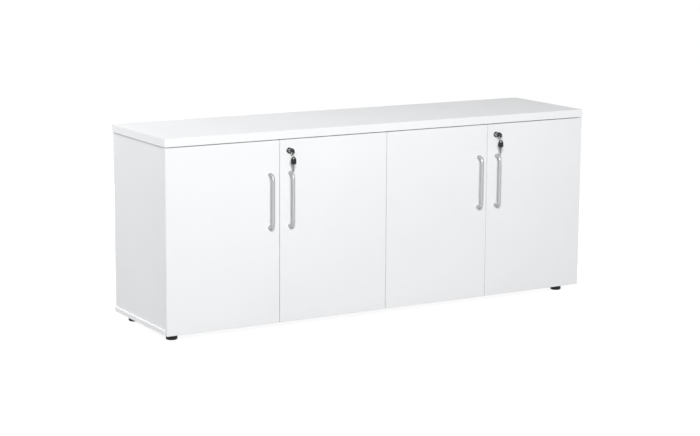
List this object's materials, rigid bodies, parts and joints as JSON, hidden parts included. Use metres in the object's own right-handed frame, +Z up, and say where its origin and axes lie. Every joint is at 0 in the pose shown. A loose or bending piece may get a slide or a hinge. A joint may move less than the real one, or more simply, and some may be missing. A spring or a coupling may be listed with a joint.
{
  "type": "office credenza",
  "caption": "Low white office credenza on round black feet: hinged doors in pairs with bow handles, a cam lock with keys on each pair, and a shelf inside each half.",
  "frame": {"origin": "on the floor, under the middle of the whole outline with handles and keys", "axes": "+X to the right seen from the doors, +Y to the back, +Z up; the doors face -Y"},
  "size_m": [1.8, 0.4936, 0.73],
  "materials": {
    "melamine": "white melamine-faced particle board with white edging",
    "satin_handle": "satin silver",
    "plated_steel": "bright nickel plate",
    "dark_chrome": "dark chrome",
    "black_plastic": "moulded black"
  },
  "bodies": {
    "carcass": {"top_panel": "melamine", "bottom_panel": "melamine", "left_side_panel": "melamine", "right_side_panel": "melamine", "centre_divider": "melamine", "back_panel": "melamine", "left_shelf": "melamine", "right_shelf": "melamine", "shelf_pin_1": "plated_steel", "shelf_pin_2": "plated_steel", "shelf_pin_3": "plated_steel", "shelf_pin_4": "plated_steel", "shelf_pin_5": "plated_steel", "shelf_pin_6": "plated_steel", "shelf_pin_7": "plated_steel", "shelf_pin_8": "plated_steel", "door_1_lower_hinge_arm": "plated_steel", "door_1_upper_hinge_arm": "plated_steel", "door_2_lower_hinge_arm": "plated_steel", "door_2_upper_hinge_arm": "plated_steel", "door_3_lower_hinge_arm": "plated_steel", "door_3_upper_hinge_arm": "plated_steel", "door_4_lower_hinge_arm": "plated_steel", "door_4_upper_hinge_arm": "plated_steel", "lock_1_keeper": "plated_steel", "lock_2_keeper": "plated_steel"},
    "left_outer_door": {"door_1": "melamine", "handle_1": "satin_handle", "door_1_lower_hinge_cup": "plated_steel", "door_1_upper_hinge_cup": "plated_steel"},
    "left_inner_door": {"door_2": "melamine", "handle_2": "satin_handle", "door_2_lower_hinge_cup": "plated_steel", "door_2_upper_hinge_cup": "plated_steel", "lock_1_case": "dark_chrome", "lock_1_nut": "dark_chrome"},
    "right_inner_door": {"door_3": "melamine", "handle_3": "satin_handle", "door_3_lower_hinge_cup": "plated_steel", "door_3_upper_hinge_cup": "plated_steel"},
    "right_outer_door": {"door_4": "melamine", "handle_4": "satin_handle", "door_4_lower_hinge_cup": "plated_steel", "door_4_upper_hinge_cup": "plated_steel", "lock_2_case": "dark_chrome", "lock_2_nut": "dark_chrome"},
    "left_lock": {"lock_1_plug": "plated_steel", "lock_1_cam": "plated_steel"},
    "right_lock": {"lock_2_plug": "plated_steel", "lock_2_cam": "plated_steel"},
    "left_key": {"key_1": "black_plastic"},
    "right_key": {"key_2": "black_plastic"},
    "left_spare": {"key_ring_1": "plated_steel", "spare_key_1": "black_plastic"},
    "right_spare": {"key_ring_2": "plated_steel", "spare_key_2": "black_plastic"},
    "front_left_foot": {"foot_front_left": "black_plastic"},
    "front_right_foot": {"foot_front_right": "black_plastic"},
    "rear_left_foot": {"foot_rear_left": "black_plastic"},
    "rear_right_foot": {"foot_rear_right": "black_plastic"}
  },
  "joints": [
    {"name": "left_outer_door_swing", "type": "hinge", "parent": "carcass", "child": "left_outer_door", "pos_m": [-0.8905, -0.19904, 0.3635], "axis": [0, 0, -1], "range_deg": [0, 105]},
    {"name": "left_inner_door_swing", "type": "hinge", "parent": "carcass", "child": "left_inner_door", "pos_m": [-0.0095, -0.19904, 0.3635], "axis": [0, 0, 1], "range_deg": [0, 85]},
    {"name": "right_inner_door_swing", "type": "hinge", "parent": "carcass", "child": "right_inner_door", "pos_m": [0.0095, -0.19904, 0.3635], "axis": [0, 0, -1], "range_deg": [0, 85]},
    {"name": "right_outer_door_swing", "type": "hinge", "parent": "carcass", "child": "right_outer_door", "pos_m": [0.8905, -0.19904, 0.3635], "axis": [0, 0, 1], "range_deg": [0, 105]},
    {"name": "left_lock_turn", "type": "hinge", "parent": "left_inner_door", "child": "left_lock", "pos_m": [-0.412, -0.2, 0.6575], "axis": [0, -1, 0], "range_deg": [0, 90]},
    {"name": "right_lock_turn", "type": "hinge", "parent": "right_outer_door", "child": "right_lock", "pos_m": [0.488, -0.2, 0.6575], "axis": [0, -1, 0], "range_deg": [0, 90]},
    {"name": "left_key_pull", "type": "slide", "parent": "left_lock", "child": "left_key", "axis": [0, 1, 0], "range_m": [-0.04, 0]},
    {"name": "right_key_pull", "type": "slide", "parent": "right_lock", "child": "right_key", "axis": [0, 1, 0], "range_m": [-0.04, 0]},
    {"name": "left_spare_swing", "type": "hinge", "parent": "left_key", "child": "left_spare", "pos_m": [-0.412, -0.23724, 0.6557], "axis": [1, 0, 0], "range_deg": [-60, 5]},
    {"name": "right_spare_swing", "type": "hinge", "parent": "right_key", "child": "right_spare", "pos_m": [0.488, -0.23724, 0.6557], "axis": [1, 0, 0], "range_deg": [-60, 5]},
    {"name": "front_left_foot_level", "type": "slide", "parent": "carcass", "child": "front_left_foot", "axis": [0, 0, -1], "range_m": [0, 0.01]},
    {"name": "front_right_foot_level", "type": "slide", "parent": "carcass", "child": "front_right_foot", "axis": [0, 0, -1], "range_m": [0, 0.01]},
    {"name": "rear_left_foot_level", "type": "slide", "parent": "carcass", "child": "rear_left_foot", "axis": [0, 0, -1], "range_m": [0, 0.01]},
    {"name": "rear_right_foot_level", "type": "slide", "parent": "carcass", "child": "rear_right_foot", "axis": [0, 0, -1], "range_m": [0, 0.01]}
  ]
}
